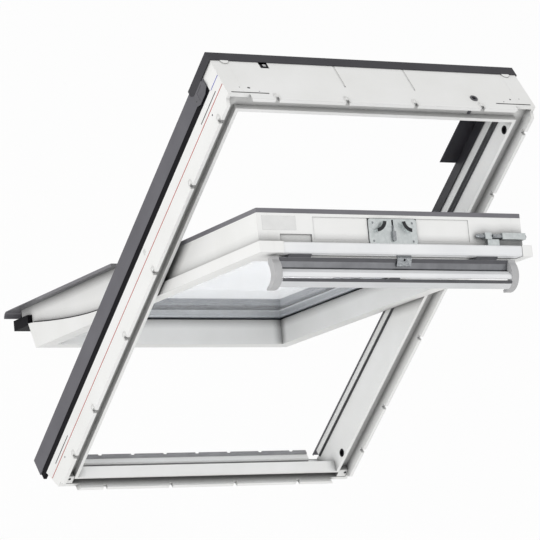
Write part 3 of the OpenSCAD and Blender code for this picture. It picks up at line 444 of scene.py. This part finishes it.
# Ribbed filling of the two water grooves in the top face
grooveFill = {"x": (-86, 91), "half": 1.9, "y": (56, 124), "z": (1176, 1177.3),
              "ribPitch": 4.6, "ribLong": 2.2, "ribZ": (1177.1, 1177.9)}
firstY, lastY = grooveFill["y"]
ribCount = int((lastY - firstY) / grooveFill["ribPitch"])
fill = bmesh.new()
for x in grooveFill["x"]:
    width = (x - grooveFill["half"], x + grooveFill["half"])
    addBox(fill, width, grooveFill["y"], grooveFill["z"])
    for step in range(ribCount):
        y = firstY + step * grooveFill["ribPitch"]
        addBox(fill, width, (y, y + grooveFill["ribLong"]), grooveFill["ribZ"])
mountPiece("water_groove_fill", fill, markLacquer, "frame")

# Painted shade of small moulding dimples near the ends of the top face, drawn as dark discs: across, out and
# radius
dimpleShade = {"spots": ((-354, 37, 1.2), (-310, 25, 1.2), (-331, 36, 2.6), (358, 39, 1.2), (312, 27, 1.2)),
             "z": 1178, "proud": 0.1}
dimpleShadeShape = bmesh.new()
for x, y, radius in dimpleShade["spots"]:
    addPeg(dimpleShadeShape, (x, y, dimpleShade["z"]), (0, 0, 1), radius, dimpleShade["proud"])
mountPiece("top_dimple_shade", dimpleShadeShape, darkNylonAndShade, "frame")

# Screws that hold the corner tabs to the side claddings
tabScrew = {"x": 392.7, "y": 104.35, "z": 1080, "radius": 1.9, "proud": 0.4}
screws = bmesh.new()
for side in (-1, 1):
    addPeg(screws, (side * tabScrew["x"], tabScrew["y"], tabScrew["z"]), (1, 0, 0), tabScrew["radius"],
           tabScrew["proud"])
mountPiece("tab_screws", screws, blackSteelAndShade, "frame")

# Plugs that close the lining groove at the sill's corners
groovePlug = {"box": {"x": (357.2, 381.8), "y": (14.2, 27.8), "z": (8.2, 31)}, "rounding": 1}
plugs = bmesh.new()
addPair(plugs, **groovePlug["box"])
softenEdges(plugs, groovePlug["rounding"])
mountPiece("groove_plugs", plugs, whiteLacquerAndShade, "frame")

# Painted shade of the peg holes in the plugs' faces, drawn as black discs
pegHoleShade = {"x": (-368, 376), "z": 22.5, "radius": 3.2, "proud": 0.2}
holeShadeShape = bmesh.new()
for x in pegHoleShade["x"]:
    addPeg(holeShadeShape, (x, groovePlug["box"]["y"][0], pegHoleShade["z"]), (0, 1, 0), pegHoleShade["radius"],
           pegHoleShade["proud"])
mountPiece("groove_peg_hole_shade", holeShadeShape, extrudedRubberAndShade, "frame")

# Rubber ends of the outer gaskets below the side members
gasketFoot = {"box": {"x": (380.5, 389.5), "y": (80.5, 96.5), "z": (-45, -28)}, "rounding": 1.5}
feet = bmesh.new()
addPair(feet, **gasketFoot["box"])
softenEdges(feet, gasketFoot["rounding"])
mountPiece("gasket_feet", feet, extrudedRubberAndShade, "frame")
print("frame details made")

# Bare label on the sash's end face; nothing is printed on it
endLabel = {"x": (-322, -240), "y": (-20.5, 9.5), "z": (509, 509.25)}
label = bmesh.new()
addBox(label, **endLabel, place=onSash)
mountPiece("bare_label", label, bareLabel, "sash")

# Blackened hooks over the lock plate's claws, one the mirror of the other
lockHook = {"centre": (-46, 4), "inner": 18.6, "outer": 26.4, "low": 518.3, "height": 1.2,
            "startDeg": -84, "sweepDeg": 76, "steps": 14}
start = Matrix.Rotation(math.radians(lockHook["startDeg"]), 4, "Z")
corners = [(lockHook["inner"], 0), (lockHook["outer"], 0), (lockHook["outer"], lockHook["height"]),
           (lockHook["inner"], lockHook["height"])]
hooks = bmesh.new()
for side in (1, -1):
    mirror = onSash @ Matrix.Diagonal((side, 1, 1, 1))
    place = mirror @ Matrix.Translation(mm(*lockHook["centre"], lockHook["low"]))
    section = hooks.faces.new([hooks.verts.new(place @ start @ mm(r, 0, h)) for r, h in corners])
    axis = (place.to_3x3() @ Vector((0, 0, 1))) * side
    bmesh.ops.spin(hooks, geom=[section, *section.edges, *section.verts], cent=place.translation, axis=axis,
                   angle=math.radians(lockHook["sweepDeg"]), steps=lockHook["steps"])
mountPiece("lock_hooks", hooks, blackSteelAndShade, "sash")

# Painted highlight on the bar's folded edge: a pale strip over the brushed metal
barHighlight = {"x": (-289.8, 289.8),
           "outline": ((-104, 507.5), (-112.8, 517.5), (-119.2, 518.6), (-122.4, 517.2), (-123, 514.8),
                       (-121, 513.6), (-117, 514.5), (-108, 507.5))}
highlightStrip = bmesh.new()
addStrip(highlightStrip, barHighlight["outline"], barHighlight["x"], onSash)
mountPiece("bar_painted_highlight", highlightStrip, paleLacquerAndHighlight, "control_bar")

# Painted shade as dark strips as long as the highlight: above it, under the flap, and below it, in the gap
# before the grip
barShade = {"upper": ((-80, 508.8), (-80, 509.3), (-87.5, 507.2), (-87.5, 506.5)),
          "grip": ((-125.6, 515.9), (-129, 519.4), (-132.8, 515.6), (-132.4, 515.0), (-129, 518.4),
                   (-126.2, 515.6))}
shadeStrips = bmesh.new()
for outline in barShade.values():
    addStrip(shadeStrips, outline, barHighlight["x"], onSash)
mountPiece("bar_painted_shade", shadeStrips, darkNylonAndShade, "control_bar")

# Painted shadow round the lock plate: a dark band under its edge
plateShadow = {"width": 124.4, "height": 58.2, "centre": (0, -20.1, 508.25), "border": 3, "thick": 0.5}
shadowBand = bmesh.new()
addBand(shadowBand, plateShadow, onSash @ Matrix.Translation(mm(*plateShadow["centre"])))
mountPiece("lock_plate_painted_shadow", shadowBand, blackSteelAndShade, "sash")

# Painted shade of the lock plate's slot above the latch: a dark sheet on the plate
latchSlotShade = {"x": (-2.2, 2.2), "y": (-6, 6), "z": (510.4, 510.7)}
slot = bmesh.new()
addBox(slot, **latchSlotShade, place=onSash)
mountPiece("lock_plate_slot_shade", slot, blackSteelAndShade, "sash")

# Enamel band round the outer pane, just inside the spacer; it lies on the pane's inner face
edgeBand = {"width": 620, "height": 967, "centre": (0, 8.85, -42.5), "border": 9.2, "thick": 0.3,
            "turnDeg": 90}
band = bmesh.new()
addBand(band, edgeBand, onSash @ Matrix.Translation(mm(*edgeBand["centre"]))
        @ Matrix.Rotation(math.radians(edgeBand["turnDeg"]), 4, "X"))
mountPiece("pane_edge_band", band, glassEnamel, "sash")

# Painted shade in the bolt housing's sight window: a dark sheet at its back
boltShade = {"x": (245.5, 272.5), "y": (-34.6, -21.4), "z": (510.3, 510.8)}
shade = bmesh.new()
addBox(shade, **boltShade, place=onSash)
mountPiece("bolt_window_painted_shade", shade, blackSteelAndShade, "sash")
print("sash and bar details made")

stage = {"floorHalf": 9.0, "floorDrop": 0.62, "floor": "#f6f6f5", "floorRoughness": 0.9,
         "floorGlow": 0.93, "backdrop": "#ffffff", "ambient": 0.74}


# 1 for rays that show the backdrop itself: straight, in a gloss or through the panes
def backdropRays(tree):
    rays = addNode(tree, "ShaderNodeLightPath").outputs
    seen = addNode(tree, "ShaderNodeMath", links={0: rays["Is Camera Ray"], 1: rays["Is Glossy Ray"]},
                   operation="MAXIMUM")
    either = addNode(tree, "ShaderNodeMath",
                     links={0: seen.outputs[0], 1: rays["Is Transmission Ray"]}, operation="MAXIMUM")
    return either.outputs[0]


# Pale board that glows nearly white where it is seen, and keeps a little of the shadow
def paleFloor():
    material, tree, shader, _ = startMaterial("pale studio floor", {
        "Base Color": toLinear(stage["floor"]), "Roughness": stage["floorRoughness"]})
    share = addNode(tree, "ShaderNodeMath", {1: stage["floorGlow"]}, {0: backdropRays(tree)},
                    operation="MULTIPLY")
    glow = addNode(tree, "ShaderNodeEmission", {"Color": toLinear(stage["backdrop"]), "Strength": 1.0})
    mixed = addNode(tree, "ShaderNodeMixShader", links={
        0: share.outputs[0], 1: shader.outputs["BSDF"], 2: glow.outputs["Emission"]})
    tree.links.new(mixed.outputs["Shader"], tree.nodes["Material Output"].inputs["Surface"])
    return material


floorShape = bmesh.new()
bmesh.ops.create_grid(floorShape, x_segments=1, y_segments=1, size=stage["floorHalf"],
                      matrix=Matrix.Translation((0, 0, cadBox[0].z - stage["floorDrop"])))
meshPiece("studio_floor", floorShape, paleFloor())


# White where it is seen, and dimmer as a light on the object
def whiteWorld():
    world = bpy.data.worlds.new("white studio")
    world.use_nodes = True
    tree = world.node_tree
    tree.nodes.clear()
    strength = addNode(tree, "ShaderNodeMapRange", {"To Min": stage["ambient"], "To Max": 1.0},
                       {"Value": backdropRays(tree)})
    sky = addNode(tree, "ShaderNodeBackground", {"Color": toLinear(stage["backdrop"])},
                  {"Strength": strength.outputs["Result"]})
    addNode(tree, "ShaderNodeOutputWorld", links={"Surface": sky.outputs["Background"]})
    return world


bpy.context.scene.world = whiteWorld()
bpy.context.scene.view_settings.view_transform = "Standard"

# Places are in metres from the object's middle, power in watts
lamps = {
    "left key": {"from": (-3.6, -1.4, 1.3), "size": 1.6, "power": 41},
    "front fill": {"from": (0.8, -4.0, 1.8), "size": 2.5, "power": 22},
    "top fill": {"from": (0.4, 0.2, 4.0), "size": 2.0, "power": 7},
}
target = (cadBox[0] + cadBox[1]) / 2
for name, lamp in lamps.items():
    data = bpy.data.lights.new(name, "AREA")
    data.shape, data.size, data.energy = "DISK", lamp["size"], lamp["power"]
    light = bpy.data.objects.new(name, data)
    light.location = target + Vector(lamp["from"])
    light.rotation_euler = (-Vector(lamp["from"])).to_track_quat("-Z", "Y").to_euler()
    bpy.context.scene.collection.objects.link(light)

# The camera solved from the photograph's straight edges
view = {"lensMm": 210.6, "sensorMm": 36, "place": (-3.60407, -4.53920, 4.77795),
        "right": (0.8675, -0.3615, 0.3416), "up": (-0.0105, 0.6733, 0.7393)}
cameraData = bpy.data.cameras.new("photo camera")
cameraData.lens, cameraData.sensor_width = view["lensMm"], view["sensorMm"]
camera = bpy.data.objects.new("photo camera", cameraData)
right, up = Vector(view["right"]).normalized(), Vector(view["up"]).normalized()
back = right.cross(up).normalized()
up = back.cross(right)
camera.matrix_world = Matrix.Translation(view["place"]) @ Matrix((right, up, back)).transposed().to_4x4()
bpy.context.scene.collection.objects.link(camera)
bpy.context.scene.camera = camera
print("stage, lamps and camera set")
